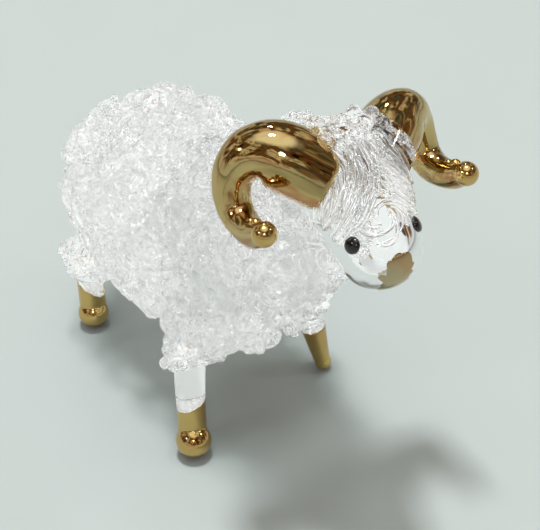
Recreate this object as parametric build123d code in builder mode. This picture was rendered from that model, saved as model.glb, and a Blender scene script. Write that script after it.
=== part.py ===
from build123d import *

import os
from math import asin, cos, degrees, pi, radians, sin

# A flame-worked glass ram. Millimetres, X towards the nose, Y to its left, Z up from the table.
# Each piece is placed from what carries it: the legs and the neck from the body, the head from the
# neck, the horns and eyes from the head, and the wool from the glass under it.

# Body: a round-ended gather of clear glass, its ends turned in flat bands under the wool
body_radius = 8.8
body_straight = 15.5
body_height = 19.5
end_facets = 16

# Neck: a tapered gather from inside the shoulders up to the back of the head
neck_ahead = 2.0
neck_above = 3.0
neck_forward = 13.0
neck_aside = 0.4
neck_rise = 15.5
neck_base_radius = 8.0
neck_top_radius = 5.4

# Head: a skull and a muzzle in one smooth lump, turned a little to the sheep's right
head_forward = 2.0
head_aside = 0.2
head_turn = 8.0
skull_forward = 1.7
skull_rise = 2.9
skull_radius = 5.8
head_droop = 32.0
muzzle_reach = 7.6
muzzle_radius = 4.4
nose_depth = 1.5
eye_reach = 7.0
eye_radius = 0.72
eye_turn = 64.0

# Horns: each leaves the crown sideways, turns down and comes forward to a bead
horn_root = (2.2, 2.3, 4.0)
horn_shoulder = (-1.0, 7.4, 7.2)
horn_outer = (-2.0, 10.9, 5.3)
horn_under = (0.3, 11.2, 1.3)
horn_tip = (6.0, 11.5, 3.2)
horn_root_radius = 3.6
horn_tip_radius = 1.15
horn_taper = 1.05
horn_sections = 13
bead_radius = 1.25
bead_seat = 0.9

# Legs: the end and side of the body that each stands at. Then, beyond that end and out from that
# side: its sole, its thigh with the height over the belly, its hip with the drop from the middle,
# and the radius of the foot's bulb.
legs = {
    "front_right": (1, -1, (7.4, 2.7), (5.6, 1.4, 3.3), (2.0, -3.6, 1.5), 2.1),
    "front_left": (1, 1, (5.4, 0.3), (3.4, -1.6, 1.3), (1.0, -4.0, 2.0), 1.8),
    "rear_right": (-1, -1, (3.2, 0.1), (2.7, -0.2, 0.3), (0.5, -3.6, 3.0), 1.95),
    "rear_left": (-1, 1, (3.2, 0.1), (2.7, -0.2, 0.3), (0.5, -3.6, 3.0), 1.95),
}
shank_radius = 1.7
shank_bend = 5.0
sole_lift = 0.86
gilding_height = 6.0
gilding_slant = 17.0

# Wool: glass thread laid in leaning loops, row by row
thread_radius = 0.46
thread_sides = 3
loop_radius = 1.85
loop_pitch = 3.0
loop_steps = 7
loop_lean = 48.0
row_spacing = 4.7
seat_gap = 0.06
neck_gap = 0.2
small_loop_radius = 1.15

# Rows round the body: which row, and by how many degrees it goes down each side, from the top or
# from where it clears the neck. A half turn takes it right round underneath.
half_turn = 180
wool_bands = {
    "rump": ((-4, 128), (-5, 150)),
    "loin": ((-2, 100), (-3, 78)),
    "back": ((-1, 104), (1, 104)),
    "shoulder": ((2, 32),),
    "chest": ((4, half_turn), (5, half_turn)),
}
neck_row_first = 6.8
neck_row_count = 3
neck_spread = 165.0
brow_reach = 4.0
brow_spread = 45.0
tuft_drop = 2.4
tuft_spread = 150.0

# Where the neck and the head lie
body_end = body_straight / 2
neck_base = Vector(body_end + neck_ahead, 0, body_height + neck_above)
neck_line = Vector(neck_forward, neck_aside, neck_rise)
neck_top = neck_base + neck_line
neck_length = neck_line.length
neck_way = neck_line.normalized()
head_place = Location(neck_top + Vector(head_forward, head_aside, 0), (0, 0, -head_turn))


def in_head(forward, side, height):
    """A point given in the turned frame of the head, as a point of the part."""
    return (head_place * Location((forward, side, height))).position


def neck_radius(reach):
    """The radius of the neck at a reach along it."""
    return neck_base_radius + (neck_top_radius - neck_base_radius) * reach / neck_length


def cheek(reach):
    """The radius of the cheeks, the straight cone between skull and muzzle, at a reach."""
    return (skull_radius - reach * sin(cheek_slope)) / cos(cheek_slope)


def horn_radius(share):
    """The radius of a horn at a share of its length from the root."""
    return horn_tip_radius + (horn_root_radius - horn_tip_radius) * (1 - share) ** horn_taper


def ring_frame(point, along):
    """A frame at a point whose X axis runs along a direction and whose Z axis is upright."""
    level = Vector(0, 0, 1).cross(along)
    return Plane(origin=point, x_dir=along, z_dir=along.cross(level)).location


def thread(route):
    """One unbroken thread with flat sides along a route, mitred at every bend."""
    start = Plane(origin=route[0], z_dir=route[1] - route[0])
    turns = [2 * pi * side / thread_sides for side in range(thread_sides)]
    ring = [
        start.from_local_coords(Vector(thread_radius * cos(turn), thread_radius * sin(turn)))
        for turn in turns
    ]
    rings = [ring]
    for back, here, ahead in zip(route, route[1:], route[2:] + [None]):
        along = (here - back).normalized()
        mitre = along if ahead is None else along + (ahead - here).normalized()
        ring = [
            corner + along * ((here - corner).dot(mitre) / along.dot(mitre)) for corner in ring
        ]
        rings.append(ring)
    faces = [Face(Wire.make_polygon(rings[0][::-1])), Face(Wire.make_polygon(rings[-1]))]
    for near, far in zip(rings, rings[1:]):
        for side in range(thread_sides):
            after = (side + 1) % thread_sides
            corners = [near[side], near[after], far[after], far[side]]
            faces.append(Face(Wire.make_polygon(corners)))
    return Solid(Shell(faces))


def loop_point(frame, ring, splay, loop, angle, share):
    """A point of the loop that stands at an angle on a ring about the X axis of a frame.

    The loop leans along the ring and is splayed from its plane. The share is of one turn.
    """
    around, tilt, lean = radians(angle), radians(splay), radians(loop_lean)
    outward = Vector(sin(tilt), cos(tilt) * sin(around), cos(tilt) * cos(around))
    onward = Vector(0, cos(around), -sin(around))
    across = outward.cross(onward) * (loop * sin(2 * pi * share))
    leaning = (outward * cos(lean) + onward * sin(lean)) * (loop * cos(2 * pi * share))
    middle = Vector(0, ring * sin(around), ring * cos(around))
    return (frame * Location(middle + across + leaning)).position


def loops(frame, ring, splay, loop, first, last):
    """The route of a row of loops on a ring, from the first to the last angle round it."""
    turns = max(1, round(abs(radians(last - first)) * ring / loop_pitch))
    steps = turns * loop_steps
    return [
        loop_point(
            frame, ring, splay, loop, first + (last - first) * step / steps, step / loop_steps
        )
        for step in range(steps + 1)
    ]


def lift(loop):
    """How far the middle of a row of loops lies above the glass that it is laid on."""
    return loop * cos(radians(loop_lean)) + thread_radius + seat_gap


def clears_neck(point):
    """Whether the thread round a point of its route keeps clear of the neck."""
    way = point - neck_base
    reach = way.dot(neck_way)
    off_axis = (way - neck_way * reach).length
    return reach < -thread_radius or off_axis > neck_radius(max(reach, 0)) + thread_radius + neck_gap


def body_row(number, spread):
    """The routes of a row of loops down both sides of the body, from its top or from the neck.

    The rows are numbered both ways from the middle of the body. A row that the neck covers whole
    has no route.
    """
    lay = body_radius + lift(loop_radius)
    end = 1 if number > 0 else -1
    station = (abs(number) - 0.5) * row_spacing
    over_end = max(0.0, station - body_end) / lay
    forward = min(station, body_end) + lay * sin(over_end)
    frame = Location((end * forward, 0, body_height))
    place = (frame, lay * cos(over_end), end * degrees(over_end), loop_radius)

    def clear(angle):
        """Whether the loops at an angle, on the one side and the other, clear the neck."""
        shares = [step / loop_steps for step in range(loop_steps)]
        return all(
            clears_neck(loop_point(*place, way * angle, share)) for way in (1, -1) for share in shares
        )

    top = next((angle for angle in range(half_turn) if clear(angle)), half_turn)
    if top == half_turn:
        return []
    if spread == half_turn:
        return [loops(*place, top, 2 * half_turn - top)]
    if top == 0:
        return [loops(*place, -spread, spread)]
    return [loops(*place, top, top + spread), loops(*place, -top, -top - spread)]


def least_gap(routes):
    """The least gap between the turns of any one thread, from point to point of its route."""
    apart = loop_steps - 1
    return min(
        (there - here).length - 2 * thread_radius
        for route in routes
        for place, here in enumerate(route)
        for there in route[place + apart :]
    )


# Body
with BuildPart() as body:
    with BuildSketch(Plane((0, 0, body_height), x_dir=(1, 0, 0), z_dir=(0, -1, 0))):
        with GridLocations(body_straight, 0, 2, 1):
            RegularPolygon(body_radius, end_facets)
        make_hull()
        split(bisect_by=Plane.XZ)
    revolve(axis=Axis((0, 0, body_height), (1, 0, 0)))

# Head and nose share one lump, parted across the muzzle where the gilding starts
skull = in_head(skull_forward, 0, skull_rise)
nose_way = in_head(cos(radians(head_droop)), 0, -sin(radians(head_droop))) - in_head(0, 0, 0)
right_way = in_head(0, -1, 0) - in_head(0, 0, 0)
head_plane = Plane(origin=skull, x_dir=nose_way, z_dir=right_way)
nose_reach = muzzle_reach + muzzle_radius
nose_plane = Plane(origin=skull + nose_way * (nose_reach - nose_depth), z_dir=nose_way)
cheek_slope = asin((skull_radius - muzzle_radius) / muzzle_reach)

with BuildPart() as lump:
    with BuildSketch(head_plane):
        Circle(skull_radius)
        with Locations((muzzle_reach, 0)):
            Circle(muzzle_radius)
        make_hull()
        split(bisect_by=Plane.XZ)
    revolve(axis=Axis(skull, nose_way))

with BuildPart() as head:
    add(lump.part)
    split(bisect_by=nose_plane, keep=Keep.BOTTOM)

with BuildPart() as nose:
    add(lump.part)
    split(bisect_by=nose_plane, keep=Keep.TOP)

# Neck
with BuildPart() as neck:
    with Locations(Plane(origin=neck_base, z_dir=neck_way)):
        from_base = (Align.CENTER, Align.CENTER, Align.MIN)
        Cone(neck_base_radius, neck_top_radius, neck_length, align=from_base)
    add([body.part, head.part], mode=Mode.SUBTRACT)

pieces = {"body": body.part, "neck": neck.part, "head": head.part, "nose": nose.part}

# Horns, with the bead that ends each one, and the eyes
for name, side in (("right", -1), ("left", 1)):
    stops = (horn_root, horn_shoulder, horn_outer, horn_under, horn_tip)
    line = Spline([in_head(forward, side * out, up) for forward, out, up in stops])
    with BuildPart() as horn:
        for number in range(horn_sections):
            share = number / (horn_sections - 1)
            with BuildSketch(Plane(origin=line @ share, z_dir=line % share)):
                Circle(horn_radius(share))
        loft(ruled=True)
        add(head.part, mode=Mode.SUBTRACT)
    with BuildPart() as bead:
        with Locations((line @ 1) + (line % 1) * (bead_seat * bead_radius)):
            Sphere(bead_radius)
        split(bisect_by=Plane(origin=line @ 1, z_dir=line % 1))
    with BuildPart() as eye:
        turn = radians(eye_turn)
        aside = head_plane.y_dir * cos(turn) - right_way * (side * sin(turn))
        seat = skull + nose_way * eye_reach + aside * cheek(eye_reach)
        facing = aside * cos(cheek_slope) + nose_way * sin(cheek_slope)
        with Locations(seat):
            Sphere(eye_radius)
        split(bisect_by=Plane(origin=seat, z_dir=facing))
    # The cut by the head can leave a thin sliver beside the root, so only the horn itself is kept
    pieces[f"{name}_horn"] = Part(horn.part.solids().sort_by(SortBy.VOLUME)[-1].wrapped)
    pieces[f"{name}_horn_bead"] = bead.part
    pieces[f"{name}_eye"] = eye.part

# Legs, each parted into clear shank and gilded foot, and the routes of the wool
routes = {}
for name, (end, side, sole, thigh, hip, bulb) in legs.items():
    ankle = Vector(end * (body_end + sole[0]), side * (body_radius + sole[1]), bulb * sole_lift)
    knee_height = body_height - body_radius + thigh[2]
    knee = Vector(end * (body_end + thigh[0]), side * (body_radius + thigh[1]), knee_height)
    top = Vector(end * (body_end + hip[0]), side * (body_radius + hip[1]), body_height - hip[2])
    upward = (knee - ankle).normalized()
    gilding = Plane((ankle.X, ankle.Y, gilding_height)).rotated((0, gilding_slant, 0))
    with BuildPart() as limb:
        with BuildLine() as route:
            FilletPolyline(ankle, knee, top, radius=shank_bend)
        with BuildSketch(Plane(origin=ankle, z_dir=upward)):
            Circle(shank_radius)
        sweep(path=route.wire())
        with Locations(ankle):
            Sphere(bulb)
        split(bisect_by=Plane.XY)
    with BuildPart() as leg:
        add(limb.part)
        split(bisect_by=gilding)
        add(body.part, mode=Mode.SUBTRACT)
    with BuildPart() as foot:
        add(limb.part)
        split(bisect_by=gilding, keep=Keep.BOTTOM)
    pieces[f"{name}_leg"] = leg.part
    pieces[f"{name}_foot"] = foot.part
    tuft = ring_frame(knee - upward * tuft_drop, upward)
    ring = shank_radius + lift(small_loop_radius)
    routes[f"{name}_thigh_wool"] = [
        loops(tuft, ring, 0, small_loop_radius, -tuft_spread, tuft_spread)
    ]

for name, rows in wool_bands.items():
    routes[f"{name}_wool"] = [route for row in rows for route in body_row(*row)]

routes["neck_wool"] = []
for number in range(neck_row_count):
    reach = neck_row_first + number * row_spacing
    frame = ring_frame(neck_base + neck_way * reach, neck_way)
    ring = neck_radius(reach) + lift(loop_radius)
    routes["neck_wool"].append(loops(frame, ring, 0, loop_radius, -neck_spread, neck_spread))

frame = ring_frame(skull + nose_way * brow_reach, nose_way)
ring = cheek(brow_reach) + lift(small_loop_radius)
routes["brow_wool"] = [loops(frame, ring, 0, small_loop_radius, -brow_spread, brow_spread)]

# Wool, each band with the least gap between the turns of its threads
for name, band in routes.items():
    with BuildPart() as wool:
        add([thread(route) for route in band])
    pieces[name] = wool.part
    print(name, "turns keep", round(least_gap(band), 2), "mm apart")

# The origin is under the middle of the whole figure, on the table
outline = Compound(list(pieces.values())).bounding_box()
to_origin = Location((-outline.center().X, -outline.center().Y, -outline.min.Z))
print("moved by", to_origin.position, "to an outline of", outline.size)

os.makedirs("parts", exist_ok=True)
for name, piece in pieces.items():
    placed = piece.moved(to_origin)
    placed.label = name
    export_step(placed, f"parts/{name}.step")
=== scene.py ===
"""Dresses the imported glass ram: spun-glass wool, a clear face, and gold lustre on horns, nose and feet."""

import logging
import math
from dataclasses import dataclass, field
from enum import Enum
from typing import Any, Union

import bpy
import numpy as np
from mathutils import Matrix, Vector, noise


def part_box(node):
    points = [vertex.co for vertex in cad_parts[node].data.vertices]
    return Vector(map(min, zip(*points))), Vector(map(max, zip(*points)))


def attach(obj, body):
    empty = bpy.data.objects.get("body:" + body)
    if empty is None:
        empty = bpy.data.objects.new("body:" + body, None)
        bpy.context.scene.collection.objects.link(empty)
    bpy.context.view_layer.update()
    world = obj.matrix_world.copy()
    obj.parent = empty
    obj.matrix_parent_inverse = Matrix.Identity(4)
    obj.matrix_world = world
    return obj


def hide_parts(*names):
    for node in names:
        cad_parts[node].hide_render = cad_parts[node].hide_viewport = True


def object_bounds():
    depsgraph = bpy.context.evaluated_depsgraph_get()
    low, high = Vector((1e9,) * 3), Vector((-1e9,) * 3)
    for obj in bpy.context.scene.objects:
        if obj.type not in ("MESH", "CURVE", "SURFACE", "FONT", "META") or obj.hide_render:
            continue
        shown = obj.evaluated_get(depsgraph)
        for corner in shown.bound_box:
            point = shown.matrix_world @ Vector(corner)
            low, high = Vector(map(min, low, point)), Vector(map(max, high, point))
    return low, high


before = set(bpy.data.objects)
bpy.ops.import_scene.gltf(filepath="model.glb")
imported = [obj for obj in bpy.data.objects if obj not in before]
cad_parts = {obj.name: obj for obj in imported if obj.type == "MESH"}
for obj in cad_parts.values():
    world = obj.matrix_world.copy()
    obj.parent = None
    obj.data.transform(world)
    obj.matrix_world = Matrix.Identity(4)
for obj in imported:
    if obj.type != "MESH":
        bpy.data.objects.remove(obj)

CAD_BOX = [list(corner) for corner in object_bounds()]
MM = 0.001
TURN = 2.0 * math.pi
LOG = logging.getLogger("ram")

Number = Union[float, int]
Colour = tuple[float, float, float]
Point = tuple[float, float, float]


class Slot(Enum):
    """Names of finishes that new pieces are handed over with; nothing stores them."""

    CLEAR = "clear_glass"
    GOLD = "gold_lustre"
    BLACK = "black_glass"


class Term:
    """A shader value that takes part in Python expressions."""

    def __init__(self, web: "Web", socket: bpy.types.NodeSocket) -> None:
        """Wraps a socket of a web's node."""
        self.web = web
        self.socket = socket

    def _join(self, operation: str, first: Any, second: Any) -> "Term":
        """Adds the Math or Vector Math node for one operator.

        Args:
            operation: Blender's name of the operation.
            first: The left operand, a term or a number.
            second: The right operand, a term or a number.

        Returns:
            The result as a term.
        """
        terms = [x for x in (first, second) if isinstance(x, Term)]
        if any(term.socket.type != "VALUE" for term in terms):
            return self.web.node("ShaderNodeVectorMath", {"operation": operation}, {0: first, 1: second})
        return self.web.node("ShaderNodeMath", {"operation": operation}, {0: first, 1: second})

    def __add__(self, other: Any) -> "Term":
        """Adds."""
        return self._join("ADD", self, other)

    def __radd__(self, other: Any) -> "Term":
        """Adds, with the term on the right."""
        return self._join("ADD", other, self)

    def __sub__(self, other: Any) -> "Term":
        """Subtracts."""
        return self._join("SUBTRACT", self, other)

    def __rsub__(self, other: Any) -> "Term":
        """Subtracts, with the term on the right."""
        return self._join("SUBTRACT", other, self)

    def __mul__(self, other: Any) -> "Term":
        """Multiplies."""
        return self._join("MULTIPLY", self, other)

    def __rmul__(self, other: Any) -> "Term":
        """Multiplies, with the term on the right."""
        return self._join("MULTIPLY", other, self)

    def step(self, low: Number, high: Number) -> "Term":
        """A smooth step from 0 at low to 1 at high."""
        return self.web.node(
            "ShaderNodeMapRange",
            {"interpolation_type": "SMOOTHSTEP"},
            {"Value": self, "From Min": low, "From Max": high},
        )

    def highest(self, other: Any) -> "Term":
        """The larger of two values."""
        return self._join("MAXIMUM", self, other)

    def length(self) -> "Term":
        """The length of a vector."""
        return self.web.node("ShaderNodeVectorMath", {"operation": "LENGTH"}, {0: self}, "Value")

    def along(self, direction: Point) -> "Term":
        """The part of a vector that lies along a direction."""
        return self.web.node(
            "ShaderNodeVectorMath", {"operation": "DOT_PRODUCT"}, {0: self, 1: direction}, "Value"
        )


class Web:
    """The node web of one material or of the world, and the one place that adds nodes to it."""

    def __init__(self, tree: bpy.types.NodeTree) -> None:
        """Empties a node tree and takes it over."""
        self.tree = tree
        tree.nodes.clear()

    @classmethod
    def material(cls, name: str) -> tuple[bpy.types.Material, "Web"]:
        """A new material, and the empty web of its nodes."""
        made = bpy.data.materials.new(name)
        made.use_nodes = True
        return made, cls(made.node_tree)

    def node(
        self,
        kind: str,
        settings: dict[str, Any] | None = None,
        inputs: dict[Any, Any] | None = None,
        output: str | int = 0,
    ) -> Term:
        """Adds a node.

        Args:
            kind: Blender's type of the node.
            settings: The node's own settings, set first; "stops" are a ramp's positions and colours.
            inputs: Values or terms by the socket's name or number.
            output: The socket that is handed back.

        Returns:
            That output as a term.
        """
        node = self.tree.nodes.new(kind)
        for key, value in (settings or {}).items():
            if key == "stops":
                self._stops(node, value)
            else:
                setattr(node, key, value)
        for key, value in (inputs or {}).items():
            self._feed(node.inputs[key], value)
        return Term(self, node.outputs[output] if node.outputs else node.inputs[0])

    @staticmethod
    def _stops(node: bpy.types.Node, stops: list[tuple[float, Colour]]) -> None:
        """Gives a ramp its positions and colours."""
        elements = node.color_ramp.elements
        while len(elements) < len(stops):
            elements.new(0.5)
        for element, (position, colour) in zip(elements, stops):
            element.position = position
            element.color = (*colour, 1.0)

    def _feed(self, socket: bpy.types.NodeSocket, value: Any) -> None:
        """Links a term to a socket, or writes a plain value on it."""
        if isinstance(value, Term):
            self.tree.links.new(value.socket, socket)
        elif socket.type == "RGBA":
            socket.default_value = (*value, 1.0)
        elif socket.type == "VECTOR" and isinstance(value, (int, float)):
            socket.default_value = (value, value, value)
        else:
            socket.default_value = value

    def place(self) -> Term:
        """The point on the surface, in metres in the shared frame."""
        return self.node("ShaderNodeTexCoord", output="Object")

    def ray(self, fact: str) -> Term:
        """What is known of the ray that meets the surface, by Blender's name for that fact."""
        return self.node("ShaderNodeLightPath", output=fact)

    def trait(self, name: str) -> Term:
        """A number that the mesh carries at each of its points."""
        return self.node("ShaderNodeAttribute", {"attribute_name": name}, output="Fac")

    def cloud(self, where: Term, scale: float, detail: float = 2.0, warp: float = 0.0) -> Term:
        """Soft random values from 0 to 1.

        Args:
            where: The coordinates.
            scale: How many cells fit in one unit of the coordinates.
            detail: How many finer layers are added.
            warp: How far the pattern is pulled about.

        Returns:
            The values as a term.
        """
        inputs = {"Vector": where, "Scale": scale, "Detail": detail, "Distortion": warp}
        return self.node("ShaderNodeTexNoise", None, inputs, "Fac")

    def blend(self, share: Any, first: Any, second: Any) -> Term:
        """Mixes two colours by a share of the second."""
        return self.node("ShaderNodeMix", {"data_type": "RGBA"}, {0: share, 6: first, 7: second}, 2)

    def bump(self, height: Term, strength: float, distance: float) -> Term:
        """Turns a height into a surface normal."""
        inputs = {"Height": height, "Strength": strength, "Distance": distance}
        return self.node("ShaderNodeBump", None, inputs)

    def end(self, shader: Term, kind: str = "ShaderNodeOutputMaterial") -> None:
        """Sends a shader to the output."""
        self.node(kind, None, {"Surface": shader})


@dataclass(frozen=True)
class ClearGlass:
    """Colourless drawn glass, with faint cords and seeds in it."""

    name: str
    tint: Colour = (0.992, 0.996, 0.994)
    haze: Colour = (0.97, 0.98, 0.975)
    shade: Colour = (0.93, 0.945, 0.945)
    clear: float = 1.0
    index: float = 1.47
    cord_scale: float = 420.0
    cord_strength: float = 0.10
    cord_height: float = 0.00008

    def shader(self, web: Web) -> Term:
        """Adds the glass to a web.

        Args:
            web: The web of the material.

        Returns:
            The shader, which lets lamps and the floor's own light through.
        """
        where = web.place()
        cords = web.cloud(where, self.cord_scale, 3.0, 0.6)
        seeds = web.cloud(where, self.cord_scale * 2.3, 1.0).step(0.66, 0.74)
        glass = web.node(
            "ShaderNodeBsdfPrincipled",
            None,
            {
                "Base Color": web.blend(seeds, self.tint, self.haze),
                "Roughness": 0.0,
                "IOR": self.index,
                "Transmission Weight": self.clear,
                "Normal": web.bump(cords, self.cord_strength, self.cord_height),
            },
        )
        shadow = web.ray("Is Shadow Ray")
        bounce = web.ray("Is Diffuse Ray")
        open_glass = web.node("ShaderNodeBsdfTransparent", None, {"Color": self.shade})
        return web.node("ShaderNodeMixShader", None, {0: shadow.highest(bounce), 1: glass, 2: open_glass})

    def material(self) -> bpy.types.Material:
        """A new material of this glass."""
        made, web = Web.material(self.name)
        web.end(self.shader(web))
        return made


@dataclass(frozen=True)
class GoldLustre:
    """Fired gold on glass with worn, ragged edges; its coppery and dark streaks are partly its own tone and
    partly painted reflection.
    """

    name: str
    bright: Colour = (0.55, 0.42, 0.18)
    # Streak colours: partly the lustre's own tone and partly painted reflection of a dark room.
    copper_and_reflection: Colour = (0.48, 0.25, 0.10)
    bronze_and_reflection: Colour = (0.26, 0.19, 0.08)
    streak_scale: float = 150.0
    edge_scale: float = 700.0
    edge_depth: float = 0.10
    smooth: float = 0.02
    worn: float = 0.07
    streaked: float = 1.0

    def shader(self, web: Web, where: Term, scale: float) -> Term:
        """Adds the gold to a web.

        Args:
            web: The web of the material.
            where: The coordinates that the streaks follow.
            scale: How many streaks fit in one unit of them.

        Returns:
            The gold's shader.
        """
        streaks = web.cloud(where, scale, 3.0, 1.2)
        patches = web.cloud(where, scale * 0.6, 2.0, 0.8)
        # Painted reflection: the coppery streaks and dark patches in the base colour are partly the lustre's
        # own tone and partly stand for the room mirrored in the gold.
        warm = web.blend(streaks.step(0.46, 0.64) * self.streaked, self.bright, self.copper_and_reflection)
        colour = web.blend(patches.step(0.54, 0.72) * (0.75 * self.streaked), warm, self.bronze_and_reflection)
        fine = web.cloud(web.place(), self.edge_scale * 2.0, 2.0)
        return web.node(
            "ShaderNodeBsdfPrincipled",
            None,
            {
                "Base Color": colour,
                "Metallic": 1.0,
                "Roughness": fine.step(0.45, 0.85) * (self.worn - self.smooth) + self.smooth,
                "Normal": web.bump(streaks, 0.2, 0.0003),
            },
        )

    def material(self) -> bpy.types.Material:
        """A new material of gold all over."""
        made, web = Web.material(self.name)
        web.end(self.shader(web, web.place(), self.streak_scale))
        return made

    def over(self, glass: ClearGlass) -> bpy.types.Material:
        """Gold where the mesh is marked as gilded, up to a ragged line, and clear glass elsewhere.

        Args:
            glass: The glass that shows where there is no gold.

        Returns:
            The new material.
        """
        made, web = Web.material(self.name)
        ragged = (web.cloud(web.place(), self.edge_scale, 3.0) - 0.5) * self.edge_depth
        gilt = (web.trait("gilded") + ragged).step(0.48, 0.52)
        line = {"X": web.trait("along") * 2.4, "Y": web.trait("swing"), "Z": web.trait("roll")}
        gold = self.shader(web, web.node("ShaderNodeCombineXYZ", None, line), 1.5)
        shader = web.node("ShaderNodeMixShader", None, {0: gilt, 1: glass.shader(web), 2: gold})
        web.end(shader)
        return made


@dataclass(frozen=True)
class BlackGlass:
    """Glossy black glass dots."""

    name: str
    colour: Colour = (0.003, 0.003, 0.0035)

    def material(self) -> bpy.types.Material:
        """A new material of black glass."""
        made, web = Web.material(self.name)
        dust = web.cloud(web.place(), 2600.0, 3.0)
        shader = web.node(
            "ShaderNodeBsdfPrincipled",
            None,
            {
                "Base Color": web.blend(dust.step(0.55, 0.8), self.colour, (0.008, 0.008, 0.009)),
                "Roughness": dust.step(0.3, 0.8) * 0.04 + 0.04,
                "Coat Weight": 0.5,
            },
        )
        web.end(shader)
        return made


@dataclass
class Strands:
    """Round glass threads and drops that are gathered into one mesh."""

    sides: int = 6
    points: list[np.ndarray] = field(default_factory=list)
    corners: list[np.ndarray] = field(default_factory=list)
    counts: list[np.ndarray] = field(default_factory=list)
    total: int = 0

    def tubes(self, paths: np.ndarray, radii: np.ndarray) -> None:
        """Adds threads that all have the same number of points.

        Args:
            paths: The threads' centre lines, by thread, point and axis.
            radii: The radius at each point.
        """
        number, length, _ = paths.shape
        ahead = np.gradient(paths, axis=1)
        ahead /= np.linalg.norm(ahead, axis=2, keepdims=True) + 1e-12
        side = np.cross(ahead[:, 0], np.array([0.31, 0.57, 0.76]))
        side /= np.linalg.norm(side, axis=1, keepdims=True) + 1e-12
        angles = np.arange(self.sides) * TURN / self.sides
        rings = np.empty((number, length, self.sides, 3))
        for step in range(length):
            side = side - ahead[:, step] * np.sum(side * ahead[:, step], axis=1, keepdims=True)
            side /= np.linalg.norm(side, axis=1, keepdims=True) + 1e-12
            up = np.cross(ahead[:, step], side)
            turned = (
                side[:, None, :] * np.cos(angles)[None, :, None]
                + up[:, None, :] * np.sin(angles)[None, :, None]
            )
            rings[:, step] = paths[:, step, None, :] + turned * radii[:, step, None, None]
        self.rings(rings)

    def rings(self, rings: np.ndarray) -> None:
        """Adds shapes that are given ring by ring, and closes their ends.

        Args:
            rings: The points, by shape, ring, place on the ring and axis.
        """
        number, length = rings.shape[:2]
        index = np.arange(number * length * self.sides).reshape(number, length, self.sides)
        after = np.roll(index, -1, axis=2)
        quads = np.stack(
            [index[:, :-1], after[:, :-1], after[:, 1:], index[:, 1:]], axis=-1
        ).reshape(-1, 4)
        caps = np.concatenate([index[:, 0, ::-1], index[:, -1]])
        self._add(rings.reshape(-1, 3), [quads, caps])

    def drops(
        self, centres: np.ndarray, radii: np.ndarray, pull: np.ndarray, rows: int = 5, around: int = 8
    ) -> None:
        """Adds small rounded drops.

        Args:
            centres: Where the drops sit.
            radii: Their radii.
            pull: How far each is drawn out along the three axes.
            rows: How many rings of points each has between its poles.
            around: How many points are on a ring.
        """
        tilt = np.linspace(0.0, math.pi, rows + 2)[1:-1]
        turn = np.arange(around) * TURN / around
        ring = np.stack(
            [
                np.sin(tilt)[:, None] * np.cos(turn)[None],
                np.sin(tilt)[:, None] * np.sin(turn)[None],
                np.repeat(np.cos(tilt)[:, None], around, axis=1),
            ],
            axis=-1,
        ).reshape(-1, 3)
        ball = np.concatenate([ring, [[0, 0, 1.0]], [[0, 0, -1.0]]])
        where = centres[:, None, :] + ball[None] * radii[:, None, None] * pull[:, None, :]
        grid = np.arange(rows * around).reshape(rows, around)
        after = np.roll(grid, -1, axis=1)
        quads = np.stack([grid[:-1], grid[1:], after[1:], after[:-1]], axis=-1).reshape(-1, 4)
        top = np.stack([np.full(around, rows * around), grid[0], after[0]], axis=-1)
        low = np.stack([np.full(around, rows * around + 1), after[-1], grid[-1]], axis=-1)
        first = (np.arange(len(centres)) * len(ball))[:, None, None]
        faces = [(f[None] + first).reshape(-1, f.shape[1]) for f in (quads, top, low)]
        self._add(where.reshape(-1, 3), faces)

    def take(self, piece: bpy.types.Object) -> None:
        """Takes in the mesh of a finished piece, and removes that piece."""
        mesh = piece.data
        points = np.empty(len(mesh.vertices) * 3)
        mesh.vertices.foreach_get("co", points)
        corners = np.empty(len(mesh.loops), dtype=np.int32)
        mesh.loops.foreach_get("vertex_index", corners)
        counts = np.empty(len(mesh.polygons), dtype=np.int32)
        mesh.polygons.foreach_get("loop_total", counts)
        self.points.append(points.reshape(-1, 3) / MM)
        self.corners.append(corners + self.total)
        self.counts.append(counts)
        self.total += len(points) // 3
        bpy.data.objects.remove(piece)
        bpy.data.meshes.remove(mesh)

    def _add(self, points: np.ndarray, faces: list[np.ndarray]) -> None:
        """Keeps points, and faces that count from the first of them."""
        self.points.append(points)
        for group in faces:
            self.corners.append((group + self.total).ravel())
            self.counts.append(np.full(len(group), group.shape[1]))
        self.total += len(points)

    def piece(self, name: str) -> bpy.types.Object:
        """Makes the mesh and its object.

        Args:
            name: The name of the piece.

        Returns:
            The new object, with smooth faces.
        """
        low, high = (np.array(corner) / MM for corner in CAD_BOX)
        points = np.clip(np.concatenate(self.points), low + 0.02, high - 0.02) * MM
        corners, counts = np.concatenate(self.corners), np.concatenate(self.counts)
        mesh = bpy.data.meshes.new(name)
        mesh.vertices.add(len(points))
        mesh.vertices.foreach_set("co", points.ravel())
        mesh.loops.add(len(corners))
        mesh.loops.foreach_set("vertex_index", corners.astype(np.int32))
        mesh.polygons.add(len(counts))
        starts = np.concatenate([[0], np.cumsum(counts)[:-1]])
        mesh.polygons.foreach_set("loop_start", starts.astype(np.int32))
        mesh.polygons.foreach_set("use_smooth", np.ones(len(counts), dtype=bool))
        mesh.update(calc_edges=True)
        mesh.validate()
        made = bpy.data.objects.new(name, mesh)
        bpy.context.scene.collection.objects.link(made)
        return made


def settle(piece: bpy.types.Object, slot: Slot, material: bpy.types.Material, *nodes: str) -> None:
    """Gives a finished piece its material and its place in the frame.

    Args:
        piece: The new object.
        slot: Not used.
        material: The material that it wears.
        nodes: The solids that it stands for.
    """
    piece.data.materials.clear()
    piece.data.materials.append(material)
    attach(piece, "root")
    if nodes:
        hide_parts(*nodes)
    LOG.info("%s: %d faces", piece.name, len(piece.data.polygons))


def wear(node: str, material: bpy.types.Material) -> None:
    """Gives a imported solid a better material."""
    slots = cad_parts[node].data.materials
    slots.clear()
    slots.append(material)
    LOG.info("%s: packed solid", node)


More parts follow.
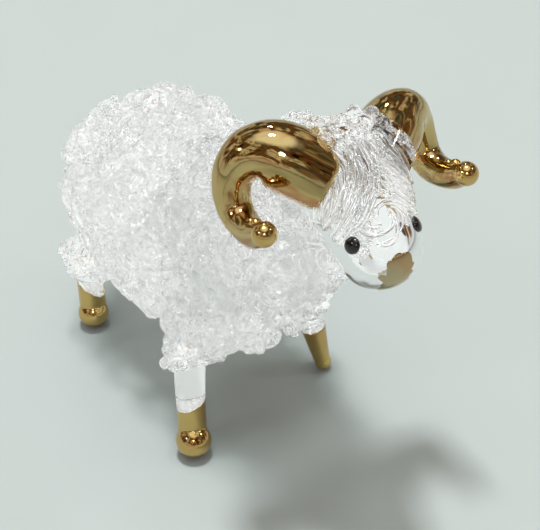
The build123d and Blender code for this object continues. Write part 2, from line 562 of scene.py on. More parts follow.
def fuse(piece: bpy.types.Object, grain: float, rounds: int) -> None:
    """Melts what overlaps in a piece into one skin.

    Args:
        piece: The object with the loose shapes.
        grain: The size of the skin's cells, in millimetres.
        rounds: How often the skin is softened.
    """
    melt = piece.modifiers.new("melt", "REMESH")
    melt.mode = "VOXEL"
    melt.voxel_size = grain * MM
    melt.use_smooth_shade = True
    soften = piece.modifiers.new("soften", "SMOOTH")
    soften.factor = 0.5
    soften.iterations = rounds
    graph = bpy.context.evaluated_depsgraph_get()
    skin = bpy.data.meshes.new_from_object(piece.evaluated_get(graph))
    piece.modifiers.clear()
    loose, piece.data = piece.data, skin
    bpy.data.meshes.remove(loose)
    skin.name = piece.name


def smooth_line(stops: np.ndarray, number: int) -> np.ndarray:
    """A smooth line through points.

    Args:
        stops: The points, with any further values beside their places.
        number: How many points come back.

    Returns:
        The points of the line, evenly spaced by stop.
    """
    padded = np.concatenate([[2 * stops[0] - stops[1]], stops, [2 * stops[-1] - stops[-2]]])
    share = np.linspace(0.0, len(stops) - 1.0, number)
    first = np.minimum(share.astype(int), len(stops) - 2)
    t = (share - first)[:, None]
    a, b, c, d = (padded[first + k] for k in range(4))
    return 0.5 * (
        2 * b + (c - a) * t + (2 * a - 5 * b + 4 * c - d) * t**2 + (3 * b - a - 3 * c + d) * t**3
    )


@dataclass
class HeadFrame:
    """The head's skull and its own axes, forward along x and turned a little to its right."""

    forward: float = 15.87874
    left: float = 0.801635
    turn_degrees: float = -8.0
    skull: Point = (1.7, 0.0, 40.9)
    skull_radius: float = 5.8

    def place(self, points: np.ndarray) -> np.ndarray:
        """Moves points from the head's axes to the shared frame, in millimetres."""
        turn = math.radians(self.turn_degrees)
        cos, sin = math.cos(turn), math.sin(turn)
        spin = np.array([[cos, -sin, 0.0], [sin, cos, 0.0], [0.0, 0.0, 1.0]])
        return points @ spin.T + np.array([self.forward, self.left, 0.0])


@dataclass
class Skin:
    """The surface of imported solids, from which points are drawn."""

    nodes: tuple[str, ...]

    def draw(self, chance: np.random.Generator, number: int) -> tuple[np.ndarray, np.ndarray]:
        """Draws random points of the surface.

        Args:
            chance: The seeded source of random numbers.
            number: How many points.

        Returns:
            The points in millimetres, and the outward directions there.
        """
        spots, normals, areas = [], [], []
        for node in self.nodes:
            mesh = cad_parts[node].data
            mesh.calc_loop_triangles()
            places = np.array([v.co for v in mesh.vertices]) / MM
            corners = np.array([t.vertices for t in mesh.loop_triangles])
            triangles = places[corners]
            across = np.cross(triangles[:, 1] - triangles[:, 0], triangles[:, 2] - triangles[:, 0])
            size = np.linalg.norm(across, axis=1)
            keep = size > 1e-9
            spots.append(triangles[keep])
            normals.append(across[keep] / size[keep, None])
            areas.append(size[keep])
        triangle, normal, area = (np.concatenate(part) for part in (spots, normals, areas))
        pick = chance.choice(len(area), number, p=area / area.sum())
        share = chance.random((number, 2))
        flip = share.sum(axis=1) > 1
        share[flip] = 1 - share[flip]
        corner = triangle[pick]
        spot = (
            corner[:, 0]
            + share[:, :1] * (corner[:, 1] - corner[:, 0])
            + share[:, 1:] * (corner[:, 2] - corner[:, 0])
        )
        return spot, normal[pick]


@dataclass
class Wool:
    """The fused tangle of drawn glass thread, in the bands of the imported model.

    Attributes:
        dip: How far a curl may sink under the skin.
        crest: How far it may stand over the wool's depth.
        slim: What small curls add to their scale for the stoutness of their thread.
        stray: One curl in so many hangs lower on a leg than the others.
        leg_start: Where those strays and the others begin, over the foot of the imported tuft.
        bands: Where each band begins and ends along the body's skin, from its middle.
        arch: The rod over the back, by place and radius.
    """

    thin: float = 0.22
    thick: float = 0.98
    small_loop: float = 0.6
    large_loop: float = 3.2
    depth: float = 2.6
    curl_points: int = 26
    stem_points: int = 6
    sunk: float = 0.3
    swell: float = 0.26
    grain: float = 0.20
    dip: float = 0.4
    crest: float = 0.6
    slim: float = 0.1
    drop_share: float = 0.5
    drop_size: tuple[float, float] = (0.3, 0.66)
    drop_pull: tuple[float, float] = (0.75, 1.3)
    body_curls: int = 760
    neck_curls: int = 340
    leg_curls: int = 260
    leg_scale: float = 0.62
    leg_start: tuple[float, float] = (1.8, 3.0)
    leg_top: float = 2.5
    stray: int = 7
    seed: int = 11
    bands: dict[str, tuple[float, float]] = field(
        default_factory=lambda: {
            "rump_wool": (-99.0, -14.5),
            "loin_wool": (-14.5, -7.0),
            "back_wool": (-7.0, 3.0),
            "shoulder_wool": (3.0, 10.0),
            "chest_wool": (10.0, 99.0),
        }
    )
    arch: tuple[tuple[float, float, float, float], ...] = (
        (-26.6, 1.6, 23.5, 0.55),
        (-25.0, 2.2, 27.0, 0.7),
        (-20.0, 3.2, 29.6, 0.75),
        (-15.0, 4.9, 30.3, 0.75),
        (-10.0, 6.0, 29.9, 0.7),
        (-7.0, 7.6, 27.6, 0.55),
    )

    def finish(self, strands: Strands, name: str, glass: bpy.types.Material) -> None:
        """Melts a band's threads together and puts them in the band's place."""
        piece = strands.piece(f"{name}_threads")
        fuse(piece, self.grain, 1)
        settle(piece, Slot.CLEAR, glass, name)

    def curls(
        self, chance: np.random.Generator, spots: np.ndarray, normals: np.ndarray, scale: float = 1.0
    ) -> tuple[np.ndarray, np.ndarray]:
        """Winds a loose curl of thread over each spot.

        Args:
            chance: The seeded source of random numbers.
            spots: Where the curls stand on what carries them.
            normals: The outward directions there.
            scale: The curls' size against the usual one.

        Returns:
            The curls' centre lines and radii.
        """
        number = len(spots)
        guide = chance.normal(size=(number, 3))
        tangent = np.cross(normals, guide)
        tangent /= np.linalg.norm(tangent, axis=1, keepdims=True) + 1e-9
        lean = chance.uniform(-0.9, 0.9, (number, 1))
        axis = tangent + normals * lean
        axis /= np.linalg.norm(axis, axis=1, keepdims=True)
        rise = normals - axis * np.sum(normals * axis, axis=1, keepdims=True)
        rise /= np.linalg.norm(rise, axis=1, keepdims=True) + 1e-9
        across = np.cross(axis, rise)
        turns = chance.uniform(0.8, 2.1, (number, 1))
        share = np.linspace(0.0, 1.0, self.curl_points)[None]
        angle = share * turns * TURN + chance.uniform(0, TURN, (number, 1))
        loop = self.small_loop + (self.large_loop - self.small_loop) * chance.beta(1.1, 2.6, (number, 1))
        loop *= scale
        wave = 1 + chance.uniform(0.05, 0.3, (number, 1)) * np.sin(
            angle * chance.uniform(0.4, 1.6, (number, 1)) + chance.uniform(0, TURN, (number, 1))
        )
        pitch = chance.uniform(0.5, 1.6, (number, 1)) * scale * turns
        lumps = np.array([noise.noise(Vector(spot) * self.swell) for spot in spots])[:, None]
        height = chance.beta(1.2, 1.5, (number, 1)) * self.depth * scale * (1.0 + 0.9 * lumps)
        squash = chance.uniform(0.6, 1.0, (number, 1))
        path = (
            spots[:, None, :]
            + normals[:, None, :] * height[..., None]
            + rise[:, None, :] * (loop * wave * np.cos(angle) * squash)[..., None]
            + across[:, None, :] * (loop * wave * np.sin(angle))[..., None]
            + axis[:, None, :] * (pitch * (share - 0.5))[..., None]
        )
        lift = np.sum((path - spots[:, None, :]) * normals[:, None, :], axis=2)
        capped = np.clip(lift, -self.dip, self.depth * scale + self.crest)
        path += normals[:, None, :] * (capped - lift)[..., None]
        stout = self.thin + (self.thick - self.thin) * chance.beta(1.2, 2.2, (number, 1))
        stout *= min(1.0, scale + self.slim)
        radius = stout * (
            1 + 0.25 * np.sin(share * TURN * chance.uniform(0.5, 2.5, (number, 1)))
        )
        return path, radius * np.ones((1, self.curl_points))

    def clump(
        self,
        name: str,
        chance: np.random.Generator,
        spots: np.ndarray,
        normals: np.ndarray,
        scale: float = 1.0,
    ) -> Strands:
        """A band's tangle of curls and drops.

        Args:
            name: The band's name.
            chance: The seeded source of random numbers.
            spots: Where the curls stand.
            normals: The outward directions there.
            scale: The curls' size against the usual one.

        Returns:
            The threads, ready to become a piece.
        """
        strands = Strands()
        paths, radii = self.curls(chance, spots, normals, scale)
        strands.tubes(paths, radii)
        share = np.linspace(0.0, 1.0, self.stem_points)[None, :, None]
        root = spots - normals * self.sunk
        stems = root[:, None] * (1.0 - share) + paths[:, :1] * share
        strands.tubes(stems, radii[:, : self.stem_points])
        some = chance.random(len(spots)) < self.drop_share
        stout = chance.uniform(*self.drop_size, some.sum())
        pull = chance.uniform(*self.drop_pull, (some.sum(), 3))
        strands.drops(paths[some, -1], stout, pull)
        LOG.info("%s: %d curls", name, len(spots))
        return strands

    def build(self, glass: bpy.types.Material) -> None:
        """Winds the wool of the body, the neck and the thighs."""
        chance = np.random.default_rng(self.seed)
        low, high = (np.array(corner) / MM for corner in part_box("body"))
        middle, girth = (low + high) / 2, (high - low)[1] / 2
        half = (high - low)[0] / 2 - girth
        spots, normals = Skin(("body",)).draw(chance, self.body_curls)
        ahead = spots[:, 0] - middle[0]
        beyond = np.abs(ahead) - half
        ring = np.hypot(spots[:, 1] - middle[1], spots[:, 2] - middle[2])
        bend = girth * np.arctan2(np.maximum(beyond, 0), ring)
        line = np.sign(ahead) * (np.minimum(np.abs(ahead), half) + bend)
        for name, (first, last) in self.bands.items():
            inside = (line >= first) & (line < last)
            strands = self.clump(name, chance, spots[inside], normals[inside])
            if name == "back_wool":
                arch = smooth_line(np.array(self.arch), 60)
                strands.tubes(arch[None, :, :3], arch[None, :, 3])
            self.finish(strands, name, glass)
        spots, normals = Skin(("neck",)).draw(chance, self.neck_curls)
        strands = self.clump("neck_wool", chance, spots, normals)
        self.finish(strands, "neck_wool", glass)
        for leg in ("front_right", "front_left", "rear_right", "rear_left"):
            name = f"{leg}_thigh_wool"
            base, top = (np.array(corner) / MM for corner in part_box(name))
            spots, normals = Skin((f"{leg}_leg",)).draw(chance, self.leg_curls)
            few = np.arange(len(spots)) % self.stray == 0
            floor = base[2] + np.where(few, *self.leg_start)
            inside = (spots[:, 2] > floor) & (spots[:, 2] < top[2] + self.leg_top)
            strands = self.clump(name, chance, spots[inside], normals[inside], self.leg_scale)
            self.finish(strands, name, glass)


@dataclass
class Horns:
    """The two curled horns with their gilding and their clear roots."""

    head: HeadFrame
    sides: int = 40
    length: int = 90
    stops: tuple[tuple[float, float, float, float], ...] = (
        (2.7, 2.6, 42.4, 3.5),
        (-0.2, 6.3, 44.6, 3.45),
        (-1.4, 8.7, 44.9, 2.75),
        (-1.7, 10.4, 43.5, 2.2),
        (-1.3, 11.1, 41.6, 1.95),
        (-0.4, 11.2, 39.9, 1.8),
        (1.4, 11.2, 39.2, 1.65),
        (3.9, 11.4, 39.7, 1.45),
        (6.0, 11.5, 41.2, 1.15),
    )
    drop: tuple[float, ...] = (0.3, 1.2, 1.2, 1.2, 1.2, 1.2, 1.2, 1.2, 1.2)
    tuck: tuple[float, ...] = (0.0, 0.0, 0.2, 0.5, 0.6, 0.4, 0.2, 0.0, 0.0)
    bead: float = 1.28
    bead_reach: float = 0.1
    bumps: tuple[tuple[float, float, float], ...] = ((1.35, 1.1, 0.62), (2.6, 1.3, 0.52))
    bare: tuple[float, float] = (0.05, 1.6)
    rim_slope: float = 0.15

    def build(self, gold: GoldLustre, glass: ClearGlass, gilt: bpy.types.Material) -> None:
        """Makes both horns, gives them their gold and ends them in a bead."""
        dressed = gold.over(glass)
        for (side, sign), bare in zip((("right", -1.0), ("left", 1.0)), self.bare):
            stops = np.array(self.stops)
            if side == "left":
                stops[:, 1] -= self.tuck
                stops[:, 2] -= self.drop
            line = smooth_line(stops, self.length)
            places = self.head.place(line[:, :3] * np.array([1.0, sign, 1.0]))
            strands = Strands(sides=self.sides)
            strands.tubes(places[None], line[None, :, 3])
            piece = strands.piece(f"{side}_horn_gilt")
            self.mark(piece, bare)
            settle(piece, Slot.GOLD, dressed, f"{side}_horn")
            self.tip(side, places, gilt)

    def tip(self, side: str, places: np.ndarray, gilt: bpy.types.Material) -> None:
        """Sets a bead and two small bumps on the end of a horn."""
        end, back = places[-1], places[-1] - places[-8]
        way = back / np.linalg.norm(back)
        upward = np.array([0.0, 0.0, 1.0]) - way * way[2]
        upward /= np.linalg.norm(upward)
        behind, above, sizes = np.array([(-self.bead_reach, 0.0, self.bead), *self.bumps]).T
        centres = end - way * behind[:, None] + upward * above[:, None]
        strands = Strands()
        strands.drops(centres, sizes, np.ones((len(sizes), 3)), rows=24, around=40)
        settle(strands.piece(f"{side}_horn_tip"), Slot.GOLD, gilt, f"{side}_horn_bead")

    def mark(self, piece: bpy.types.Object, bare: float) -> None:
        """Writes each point's place along and round the horn, and its gilding, on its mesh.

        Args:
            piece: The horn.
            bare: How far over the head the gold begins, in millimetres.
        """
        share = np.repeat(np.linspace(0.0, 1.0, self.length), self.sides)
        angle = np.tile(np.arange(self.sides) * TURN / self.sides, self.length)
        skull = self.head.place(np.array(self.head.skull)[None])[0]
        points = np.array([vertex.co for vertex in piece.data.vertices]) / MM
        over = np.linalg.norm(points - skull, axis=1) - self.head.skull_radius
        gilded = np.clip((over - bare) * self.rim_slope + 0.5, 0.0, 1.0)
        traits = {"along": share, "swing": np.cos(angle), "roll": np.sin(angle), "gilded": gilded}
        for name, values in traits.items():
            layer = piece.data.attributes.new(name, "FLOAT", "POINT")
            layer.data.foreach_set("value", values.astype(np.float32))


@dataclass
class Face:
    """The clear head, its gilded nose, its black eyes and the combed threads of the brow."""

    head: HeadFrame
    droop: float = 32.0
    reach: float = 7.6
    muzzle_radius: float = 4.4
    film: float = 0.05
    nose_aim: tuple[float, float] = (0.30, -0.06)
    nose_spread: tuple[float, float] = (0.72, 0.40)
    eye_radius: float = 0.86
    eye_height: float = 0.46
    eye_spots: dict[str, tuple[float, float]] = field(
        default_factory=lambda: {"right": (7.35, -57.0), "left": (7.6, 47.0)}
    )
    thread: tuple[float, float] = (0.10, 0.24)
    thread_points: int = 40
    pitch: float = 0.42
    whorl: tuple[float, float] = (6.3, -0.5)
    whorl_size: float = 2.9
    combed: tuple[tuple[tuple[tuple[float, float], ...], int], ...] = (
        (((-2.6, -3.2), (-0.6, -2.4), (1.4, -2.3), (3.4, -3.3), (4.6, -5.1), (5.0, -6.4)), 9),
        (((-2.4, -0.9), (0.2, -0.4), (2.6, -0.9), (4.0, -2.2), (4.9, -3.3), (5.2, -4.2)), 8),
        (((-1.8, 0.8), (0.8, 0.9), (2.0, 2.0), (3.2, 3.9), (4.2, 5.4)), 8),
        (((-2.0, 2.4), (0.0, 3.2), (1.6, 4.6), (2.8, 6.2)), 7),
        (((1.8, 0.6), (3.4, 1.2), (5.0, 2.6), (6.0, 4.2)), 7),
        (((-1.2, -4.4), (0.8, -4.6), (2.6, -5.6), (4.0, -7.2)), 6),
    )
    rows: int = 70
    around: int = 72
    crown_draws: int = 520
    crown_edge: float = -1.0
    crown_slope: float = -0.2
    crown_scale: float = 0.38
    crown_grain: float = 0.16
    seed: int = 5

    def axes(self) -> tuple[np.ndarray, np.ndarray, np.ndarray]:
        """The ways to the nose, to the top of the head and to its left, in the head's axes."""
        droop = math.radians(self.droop)
        way = np.array([math.cos(droop), 0.0, -math.sin(droop)])
        up = np.array([math.sin(droop), 0.0, math.cos(droop)])
        return way, up, np.array([0.0, 1.0, 0.0])

    def girth(self, along: np.ndarray) -> np.ndarray:
        """The head's radius at distances from the skull's middle towards the nose."""
        slope = math.asin((self.head.skull_radius - self.muzzle_radius) / self.reach)
        first = self.head.skull_radius * math.sin(slope)
        last = self.reach + self.muzzle_radius * math.sin(slope)
        back = np.sqrt(np.maximum(self.head.skull_radius**2 - along**2, 0.0))
        front = np.sqrt(np.maximum(self.muzzle_radius**2 - (along - self.reach) ** 2, 0.0))
        cone = (self.head.skull_radius - along * math.sin(slope)) / math.cos(slope)
        return np.where(along < first, back, np.where(along > last, front, cone))

    def point(self, along: np.ndarray, angle: np.ndarray, lift: np.ndarray | float) -> np.ndarray:
        """Points on or over the head, in the shared frame.

        Args:
            along: Distances from the skull's middle towards the nose.
            angle: Angles round the head from its top, towards its left.
            lift: Heights over the glass.

        Returns:
            The points in millimetres.
        """
        way, up, left = self.axes()
        round_about = up * np.cos(angle)[..., None] + left * np.sin(angle)[..., None]
        radius = (self.girth(along) + lift)[..., None]
        return self.head.place(np.array(self.head.skull) + way * along[..., None] + round_about * radius)

    def glass(self, clear: bpy.types.Material) -> None:
        """Turns the head in one clear lump."""
        turn = np.linspace(math.pi, 0.0, self.rows)
        along = np.where(turn > math.pi / 2, self.head.skull_radius, self.muzzle_radius) * np.cos(turn)
        along += np.where(turn > math.pi / 2, 0.0, self.reach)
        angle = np.arange(self.around) * TURN / self.around
        rings = self.point(
            np.repeat(along[:, None], self.around, axis=1),
            np.repeat(angle[None], self.rows, axis=0),
            -self.film,
        )
        strands = Strands(sides=self.around)
        strands.rings(rings[None])
        settle(strands.piece("head_glass"), Slot.CLEAR, clear, "head")

    def nose(self, gilt: bpy.types.Material) -> None:
        """Lays the gold film over the front of the muzzle, with a ragged rim."""
        around, rows = 120, 26
        angle = np.arange(around) * TURN / around
        high, wide = self.nose_spread
        rim = high * wide / np.hypot(wide * np.cos(angle), high * np.sin(angle))
        for wave, depth in ((2.0, 0.16), (6.0, 0.07)):
            rim += depth * np.array(
                [noise.noise(Vector((wave * math.cos(a), wave * math.sin(a), 7.0))) for a in angle]
            )
        tilt = np.linspace(0.02, 1.0, rows)[:, None] * rim[None]
        way, up, left = self.axes()
        lift, aside = self.nose_aim
        front = way * math.cos(lift) + up * math.sin(lift) + left * aside
        front /= np.linalg.norm(front)
        above = up - front * (up @ front)
        above /= np.linalg.norm(above)
        beside = np.cross(above, front)
        round_about = above[None] * np.cos(angle)[:, None] + beside[None] * np.sin(angle)[:, None]
        normal = front * np.cos(tilt)[..., None] + round_about[None] * np.sin(tilt)[..., None]
        middle = np.array(self.head.skull) + way * self.reach
        outer = self.head.place(middle + normal * self.muzzle_radius)
        inner = self.head.place(middle + normal * (self.muzzle_radius - self.film))
        strands = Strands(sides=around)
        strands.rings(np.concatenate([outer, inner[::-1]])[None])
        settle(strands.piece("nose_gilding"), Slot.GOLD, gilt, "nose")

    def eyes(self, black: bpy.types.Material) -> None:
        """Sets a low black dot of glass on each side of the face."""
        for side, (along, degrees) in self.eye_spots.items():
            spot = np.array([along]), np.array([math.radians(degrees)])
            seat, out = self.point(*spot, -0.12)[0], self.point(*spot, 1.0)[0]
            facing = (out - seat) / np.linalg.norm(out - seat)
            turn = np.linspace(0.03, math.pi - 0.03, 24)
            path = seat + facing * (-self.eye_height * np.cos(turn))[:, None]
            strands = Strands(sides=32)
            strands.tubes(path[None], (self.eye_radius * np.sin(turn))[None])
            settle(strands.piece(f"{side}_eye_dot"), Slot.BLACK, black, f"{side}_eye")

    def lay(
        self, along: np.ndarray, aside: np.ndarray, lift: np.ndarray | float
    ) -> np.ndarray:
        """A thread's line, by distances along and across the head from the top of the skull."""
        return self.point(along, aside / np.maximum(self.girth(along), 2.0), lift)

    def locks(self, chance: np.random.Generator) -> tuple[np.ndarray, np.ndarray]:
        """Fine threads in combed locks, each beside the next, and in a spiral.

        Args:
            chance: The seeded source of random numbers.

        Returns:
            The threads' centre lines and radii.
        """
        share = np.linspace(0.0, 1.0, self.thread_points)
        paths, radii = [], []
        for stops, number in self.combed:
            line = smooth_line(np.array(stops), self.thread_points)
            ahead = np.gradient(line, axis=0)
            across = np.stack([-ahead[:, 1], ahead[:, 0]], axis=1)
            across /= np.linalg.norm(across, axis=1, keepdims=True)
            for row in np.arange(number) - (number - 1) / 2:
                spread = 0.75 + 0.35 * np.sin(share * math.pi + chance.uniform(-0.4, 0.4))
                wander = 0.2 * np.sin(share * chance.uniform(3, 8) + chance.uniform(0, TURN))
                moved = line + across * (row * self.pitch * spread + wander)[:, None]
                lift = chance.uniform(0.05, 0.28) + 0.08 * np.sin(share * 5.0 + row)
                paths.append(self.lay(moved[:, 0], moved[:, 1], lift))
                radii.append(np.full(self.thread_points, chance.uniform(*self.thread)))
        middle, aside = self.whorl
        for start in np.linspace(0.0, TURN, 9)[:-1]:
            first, last = chance.uniform(0.0, 0.35), chance.uniform(0.65, 1.0)
            way = first + (last - first) * share
            turn = start + way * TURN * 0.85 + chance.uniform(-0.2, 0.2)
            spread = 0.3 + self.whorl_size * way
            wave = chance.uniform(-0.22, 0.22)
            paths.append(
                self.lay(
                    middle - spread * np.cos(turn) * (1.0 + wave),
                    aside + spread * np.sin(turn) * (1.0 - wave),
                    chance.uniform(-0.03, 0.18) + 0.08 * np.sin(share * 7.0 + start),
                )
            )
            radii.append(np.full(self.thread_points, chance.uniform(*self.thread)))
        return np.stack(paths), np.stack(radii)

    def brow(self, thread: bpy.types.Material, wool: Wool) -> None:
        """Covers the crown with curls and combs locks of thread over the brow."""
        chance = np.random.default_rng(self.seed)
        spots, normals = Skin(("head",)).draw(chance, self.crown_draws)
        way, _, _ = self.axes()
        axis = self.head.place(way[None])[0] - self.head.place(np.zeros((1, 3)))[0]
        ahead = (spots - self.head.place(np.array(self.head.skull)[None])[0]) @ axis
        crown = (ahead < self.crown_edge) & (normals[:, 2] > self.crown_slope)
        curls = Strands()
        curls.tubes(*wool.curls(chance, spots[crown], normals[crown], self.crown_scale))
        tangle = curls.piece("crown_curls")
        fuse(tangle, self.crown_grain, 1)
        strands = Strands(sides=8)
        strands.take(tangle)
        strands.tubes(*self.locks(chance))
        settle(strands.piece("brow_wool_threads"), Slot.CLEAR, thread, "brow_wool")


@dataclass(frozen=True)
class Stance:
    """Where one leg runs, and how far it is gilded.

    Attributes:
        ankle: The middle of the leg just over the floor.
        knee: The middle where the wool hides the leg.
        hip: The middle where it enters the body.
        ball: The radius of the foot.
        toe: How far the foot's ball stands out, forward and to the left.
        rim: The height of the gold's edge.
        slant: How far that edge rises over one radius, forward and to the left.
        taper: The rod's radius over the foot.
        point: The share of that radius that is left at the sole.
    """

    ankle: Point
    knee: Point
    hip: Point
    ball: float
    toe: tuple[float, float]
    rim: float
    slant: tuple[float, float]
    taper: float = 1.68
    point: float = 1.0


@dataclass
class Legs:
    """Four drawn rods that stand in gilded feet."""

    shift: tuple[float, float] = (-8.87126, 0.201635)
    around: int = 64
    seat: float = 0.05
    sole: float = 1.0
    grain: float = 0.1
    rag: float = 0.22
    lid_sizes: tuple[float, ...] = (0.97, 0.6, 0.2)
    foot_rings: int = 50
    rod_rings: int = 60
    stances: dict[str, Stance] = field(
        default_factory=lambda: {
            "front_right": Stance(
                ankle=(14.8, -11.4, 1.0),
                knee=(13.35, -10.2, 14.0),
                hip=(9.75, -5.2, 18.0),
                ball=2.08,
                toe=(0.75, -0.35),
                rim=6.9,
                slant=(0.45, 0.55),
            ),
            "front_left": Stance(
                ankle=(13.25, 9.1, 1.0),
                knee=(11.15, 7.2, 12.0),
                hip=(8.75, 4.8, 17.5),
                ball=1.05,
                toe=(0.1, 0.0),
                rim=6.7,
                slant=(0.2, 0.3),
                taper=1.6,
                point=0.55,
            ),
            "rear_right": Stance(
                ankle=(-11.1, -8.8, 1.0),
                knee=(-10.45, -8.6, 11.0),
                hip=(-8.25, -5.2, 16.5),
                ball=1.92,
                toe=(0.6, -0.3),
                rim=6.1,
                slant=(-0.9, -1.1),
            ),
            "rear_left": Stance(
                ankle=(-11.1, 8.8, 1.0),
                knee=(-10.45, 8.6, 11.0),
                hip=(-8.25, 5.2, 16.5),
                ball=1.92,
                toe=(0.6, 0.3),
                rim=6.1,
                slant=(0.3, -0.4),
            ),
        }
    )

    def rings(self, stance: Stance, heights: np.ndarray) -> np.ndarray:
        """Points on a leg's skin.

        Args:
            stance: The leg.
            heights: The height of each point, by ring and place on the ring.

        Returns:
            The points in millimetres, in the shared frame.
        """
        line = smooth_line(np.array([stance.ankle, stance.knee, stance.hip]), 200)
        angle = np.arange(self.around) * TURN / self.around
        narrow = 1.0 - (1.0 - stance.point) * np.clip(1.0 - heights / stance.rim, 0.0, 1.0)
        radius = stance.taper * narrow * (1.0 + 0.012 * np.clip(heights - 6.0, 0.0, None))
        forward = np.interp(heights, line[:, 2], line[:, 0]) + self.shift[0]
        left = np.interp(heights, line[:, 2], line[:, 1]) + self.shift[1]
        return np.stack(
            [forward + radius * np.cos(angle), left + radius * np.sin(angle), heights], axis=-1
        )

    def build(self, gilt: bpy.types.Material, clear: bpy.types.Material) -> None:
        """Turns each foot up to its ragged rim, and stands the clear rod in it."""
        angle = np.arange(self.around) * TURN / self.around
        for place, (name, stance) in enumerate(self.stances.items()):
            edge = stance.rim + stance.slant[0] * np.cos(angle) + stance.slant[1] * np.sin(angle)
            edge += self.rag * np.array(
                [noise.noise(Vector((4 * math.cos(a), 4 * math.sin(a), place * 5.0))) for a in angle]
            )
            share = np.linspace(0.0, 1.0, self.foot_rings)[:, None]
            foot = self.rings(stance, self.sole + share * (edge - self.sole)[None])
            middle = foot[-1].mean(axis=0)
            lids = [middle + (foot[-1] - middle) * size for size in self.lid_sizes]
            strands = Strands(sides=self.around)
            strands.rings(np.concatenate([foot, np.stack(lids)])[None])
            ball = foot[0].mean(axis=0) + np.array([*stance.toe, 0.0])
            ball[2] = stance.ball * 0.98
            strands.drops(ball[None], np.array([stance.ball]), np.ones((1, 3)), 30, 48)
            piece = strands.piece(f"{name}_foot_gilt")
            fuse(piece, self.grain, 4)
            settle(piece, Slot.GOLD, gilt, f"{name}_foot")
            up = np.linspace(0.0, 1.0, self.rod_rings)[:, None]
            start = edge + self.seat
            rod = self.rings(stance, start[None] + up * (stance.hip[2] - start)[None])
            lift = np.array([0.0, 0.0, self.seat])
            seats = [point + lift for point in lids[::-1]]
            strands = Strands(sides=self.around)
            strands.rings(np.concatenate([np.stack(seats), rod])[None])
            settle(strands.piece(f"{name}_leg_rod"), Slot.CLEAR, clear, f"{name}_leg")


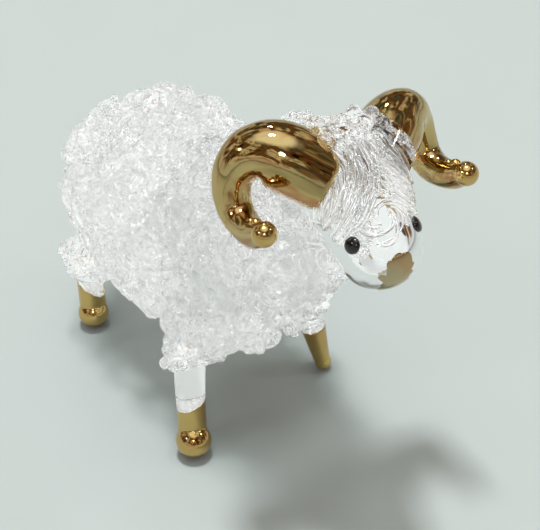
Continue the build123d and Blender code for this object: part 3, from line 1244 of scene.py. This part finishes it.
@dataclass
class Studio:
    """The plain floor, the soft light and the camera."""

    target: Point = (-15.10, 15.89, 0.0)
    eye: Point = (110.1, -78.4, 131.5)
    lens: float = 102.27
    sensor: float = 36.0
    floor_size: float = 4.0
    floor_colour: Colour = (0.53, 0.60, 0.59)
    key_from: Point = (-0.07, 0.02, 0.62)
    key_size: float = 0.07
    key_power: float = 2.4
    ceiling: Colour = (1.2, 1.22, 1.24)
    horizon: Colour = (0.58, 0.62, 0.62)
    backdrop: Colour = (0.99, 1.0, 0.99)
    wall: Colour = (0.645, 0.708, 0.680)
    fade: tuple[float, float] = (0.16, 0.60)
    layers: tuple[float, float] = (0.0, 4.0)
    room: tuple[tuple[float, Colour], ...] = (
        (0.32, (0.01, 0.01, 0.01)),
        (0.42, (0.22, 0.09, 0.03)),
        (0.47, (0.03, 0.08, 0.09)),
        (0.53, (0.30, 0.19, 0.10)),
        (0.60, (0.80, 0.74, 0.66)),
        (0.70, (0.10, 0.05, 0.03)),
    )
    sparks: tuple[tuple[Point, float, float], ...] = (
        ((0.42, -0.30, 0.46), 0.08, 0.36),
        ((-0.08, -0.52, 0.42), 0.05, 0.20),
        ((0.25, 0.45, 0.50), 0.05, 0.20),
        ((-0.38, 0.25, 0.50), 0.05, 0.20),
    )

    def floor(self) -> None:
        """Lays the pale floor."""
        bpy.ops.mesh.primitive_grid_add(x_subdivisions=8, y_subdivisions=8, size=self.floor_size)
        plane = bpy.context.object
        plane.name = "floor"
        made, web = Web.material("pale_floor")
        mottle = web.cloud(web.place(), 60.0, 4.0)
        darker = tuple(value * 0.96 for value in self.floor_colour)
        shader = web.node(
            "ShaderNodeBsdfPrincipled",
            None,
            {"Base Color": web.blend(mottle, self.floor_colour, darker), "Roughness": 0.85},
        )
        through = web.ray("Transmission Depth").step(*self.layers)
        pale = web.node("ShaderNodeEmission", None, {"Color": self.backdrop, "Strength": 1.0})
        lit = web.node("ShaderNodeMixShader", None, {0: through, 1: shader, 2: pale})
        seen = web.ray("Is Camera Ray")
        wall = web.node("ShaderNodeEmission", None, {"Color": self.wall, "Strength": 1.0})
        far = web.place().length().step(*self.fade)
        web.end(web.node("ShaderNodeMixShader", None, {0: seen * far, 1: lit, 2: wall}))
        plane.data.materials.append(made)

    def light(self) -> None:
        """Hangs the lamps and paints the room's soft light."""
        for place, size, power in ((self.key_from, self.key_size, self.key_power), *self.sparks):
            lamp = bpy.data.lights.new("lamp", "AREA")
            lamp.energy = power
            lamp.size = size
            stand = bpy.data.objects.new("lamp", lamp)
            stand.location = place
            aim = Vector((0.0, 0.0, 0.02)) - stand.location
            stand.rotation_euler = aim.to_track_quat("-Z", "Y").to_euler()
            bpy.context.scene.collection.objects.link(stand)
        world = bpy.data.worlds.new("room")
        bpy.context.scene.world = world
        world.use_nodes = True
        web = Web(world.node_tree)
        toward = web.node("ShaderNodeTexCoord", output="Generated")
        height = toward.along((0.0, 0.0, 1.0))
        clutter = web.cloud(toward, 2.4, 2.0, 1.2)
        room = web.node("ShaderNodeValToRGB", {"stops": list(self.room)}, {"Fac": clutter})
        sky = web.blend(height.step(0.84, 0.95), room, self.ceiling)
        sky = web.blend(height.step(0.06, 0.20), self.horizon, sky)
        seen = web.ray("Is Camera Ray")
        through = web.ray("Transmission Depth").step(*self.layers)
        sky = web.blend(through, sky, self.backdrop)
        sky = web.blend(seen, sky, self.wall)
        shader = web.node("ShaderNodeBackground", None, {"Color": sky, "Strength": 1.0})
        web.end(shader, "ShaderNodeOutputWorld")

    def camera(self) -> None:
        """Sets up the view of the photograph."""
        data = bpy.data.cameras.new("view")
        data.lens = self.lens
        data.sensor_width = self.sensor
        data.sensor_fit = "HORIZONTAL"
        data.clip_start = 0.01
        eye = bpy.data.objects.new("view", data)
        eye.location = Vector(self.eye) * MM
        aim = Vector(self.target) * MM - eye.location
        eye.rotation_euler = aim.to_track_quat("-Z", "Y").to_euler()
        bpy.context.scene.collection.objects.link(eye)
        bpy.context.scene.camera = eye

    def build(self) -> None:
        """Sets the stage."""
        scene = bpy.context.scene
        scene.view_settings.view_transform = "Standard"
        scene.cycles.max_bounces = 64
        scene.cycles.transmission_bounces = 64
        scene.cycles.glossy_bounces = 32
        scene.cycles.transparent_max_bounces = 96
        scene.cycles.caustics_refractive = False
        scene.cycles.caustics_reflective = False
        self.floor()
        self.light()
        self.camera()


def main() -> None:
    """Builds the pieces in order."""
    logging.basicConfig(level=logging.INFO, format="%(message)s")
    Studio().build()
    clear = ClearGlass("clear_glass_smooth")
    thread = ClearGlass(
        "clear_glass_thread",
        tint=(0.998, 0.999, 0.998),
        haze=(0.985, 0.99, 0.987),
        shade=(0.90, 0.91, 0.91),
        clear=0.98,
        cord_strength=0.04,
    ).material()
    core = ClearGlass("clear_glass_core", shade=(0.55, 0.56, 0.56)).material()
    gold = GoldLustre("gold_on_glass")
    smooth = clear.material()
    for node in ("body", "neck"):
        wear(node, core)
    gilt = GoldLustre("gold_on_small_parts", bright=(0.62, 0.44, 0.16), streaked=0.35).material()
    film = GoldLustre("gold_on_nose", bright=(0.44, 0.37, 0.22), streaked=0.5).material()
    black = BlackGlass("black_glass_dot").material()
    head = HeadFrame()
    wool = Wool()
    face = Face(head)
    face.glass(ClearGlass("clear_glass_head", shade=(0.32, 0.33, 0.33)).material())
    face.nose(film)
    face.eyes(black)
    face.brow(thread, wool)
    Horns(head).build(gold, clear, gilt)
    Legs().build(gilt, smooth)
    wool.build(thread)


if __name__ == "__main__":
    main()
